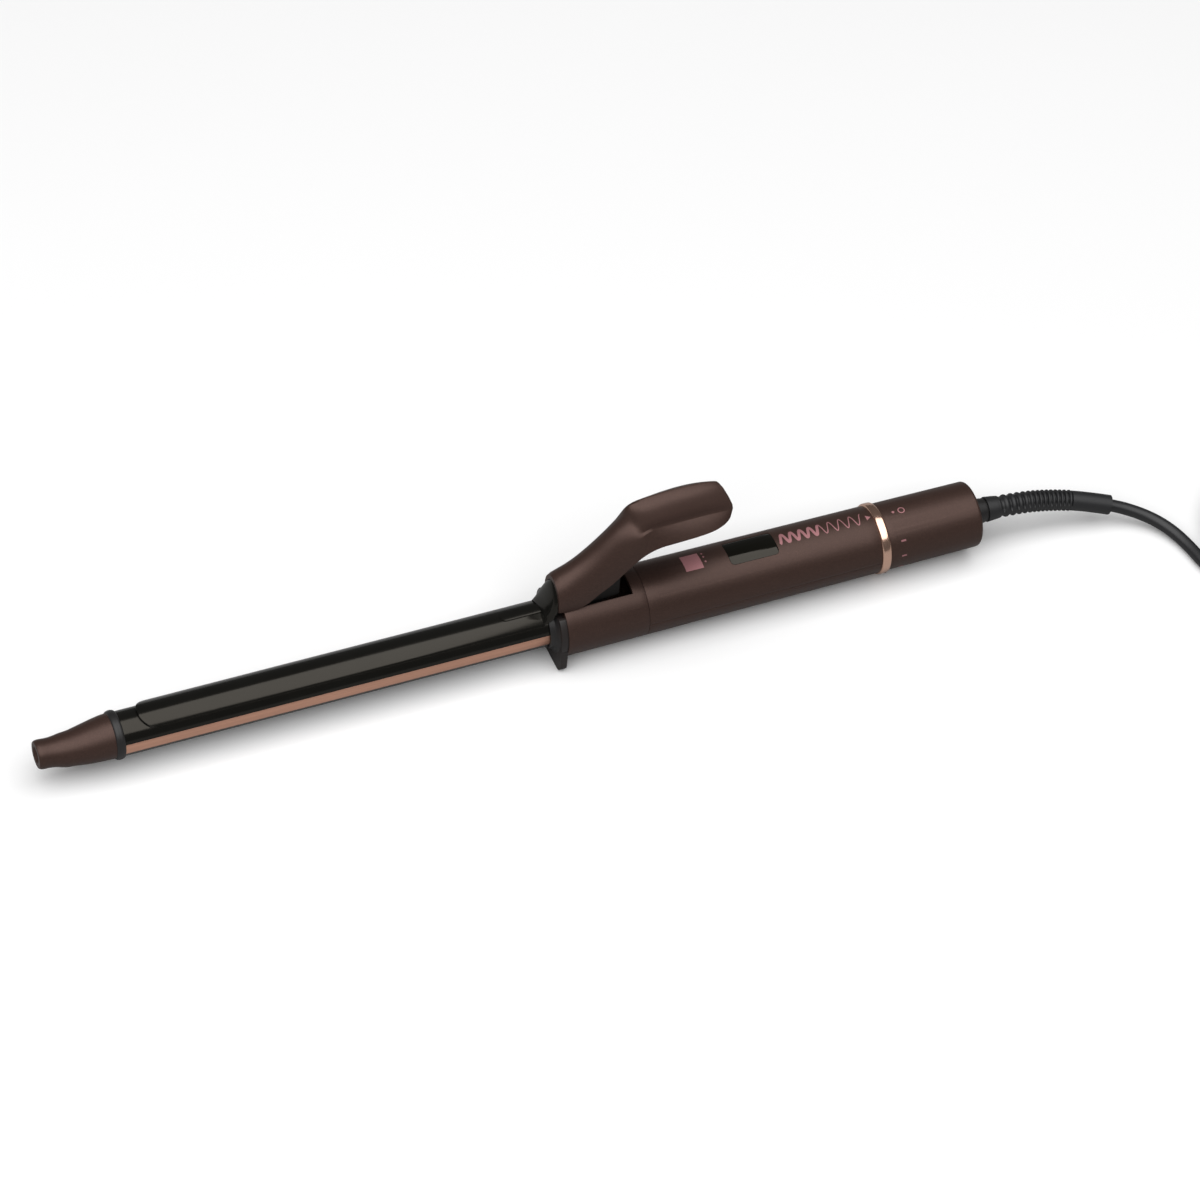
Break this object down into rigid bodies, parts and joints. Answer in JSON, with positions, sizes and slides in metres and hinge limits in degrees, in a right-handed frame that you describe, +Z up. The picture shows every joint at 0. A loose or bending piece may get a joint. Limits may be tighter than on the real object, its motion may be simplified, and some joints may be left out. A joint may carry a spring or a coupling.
{
  "type": "curling iron",
  "caption": "Electric curling iron: slim barrel with a sprung curved clamp and thumb lever, round handle with display window and turning rear dial, foot plate and swivel cord.",
  "frame": {"origin": "centre of the bottom of the object's bounding box without its cord, on the surface it lies on", "axes": "+X along the barrel from the tip to the cord, +Y away from the side that shows the copper strip in front, +Z up with the thumb lever on top"},
  "size_m": [0.6609, 0.0998, 0.071],
  "materials": {
    "plum_brown_plastic": "satin, with a fine metallic fleck",
    "gloss_black_coating": "gloss",
    "black_plastic": "satin",
    "copper_strip": "brushed along the barrel",
    "rose_gold": "polished",
    "steel": "satin",
    "core_aluminium": "as extruded",
    "ceramic": "matte",
    "heater_film": "polyimide film",
    "board_green": "solder mask",
    "component_black": "moulded",
    "smoked_lens": "gloss",
    "brass_contact": "plain",
    "wire_sleeve": "matte",
    "black_rubber": "matte",
    "pin_nickel": "plated"
  },
  "bodies": {
    "root": {"tip_cap": "plum_brown_plastic", "tip_screw": "steel", "tip_collar": "black_plastic", "barrel_tube": "gloss_black_coating", "barrel_strips": "copper_strip", "heater_core_upper": "core_aluminium", "heater_core_lower": "core_aluminium", "ptc_heater": "heater_film", "barrel_plug": "ceramic", "heater_wires": "wire_sleeve", "thermistor": "ceramic", "thermal_fuse": "steel", "front_collar": "black_plastic", "stand_foot": "black_plastic", "front_housing": "plum_brown_plastic", "pivot_pin": "steel", "clamp_spring": "steel", "handle_shell_upper": "plum_brown_plastic", "handle_shell_lower": "plum_brown_plastic", "shell_screws": "steel", "display_window": "smoked_lens", "display_module": "component_black", "control_board": "board_green", "board_parts": "component_black", "mains_leads": "wire_sleeve", "trim_ring": "rose_gold", "spindle": "black_plastic", "encoder_body": "component_black", "dial_washer": "steel", "contact_brushes": "brass_contact", "strain_relief": "black_rubber", "power_cord": "black_rubber", "cord_coil": "black_rubber", "cord_tail": "black_rubber", "cord_tie": "black_rubber", "plug_body": "black_plastic", "plug_pins": "pin_nickel"},
    "clamp": {"clamp_plate": "gloss_black_coating", "clamp_neck": "gloss_black_coating", "clamp_bracket": "steel", "thumb_lever": "plum_brown_plastic", "lever_screws": "steel"},
    "dial": {"temperature_dial": "plum_brown_plastic", "dial_rotor": "brass_contact"},
    "swivel": {"swivel_collar": "black_plastic", "contact_rings": "brass_contact"}
  },
  "joints": [
    {"name": "clamp_hinge", "type": "hinge", "parent": "root", "child": "clamp", "pos_m": [0.0236, 0, 0.0252], "axis": [0, 1, 0], "range_deg": [0, 22], "stiffness_Nm_per_rad": 0.25, "springref_deg": -17.19, "deforming": ["clamp_spring"]},
    {"name": "dial_turn", "type": "hinge", "parent": "root", "child": "dial", "pos_m": [0.1836, 0, 0.0172], "axis": [-1, 0, 0], "range_deg": [0, 180]},
    {"name": "cord_swivel", "type": "hinge", "parent": "root", "child": "swivel", "pos_m": [0.2086, 0, 0.0172], "axis": [1, 0, 0], "continuous": true}
  ]
}
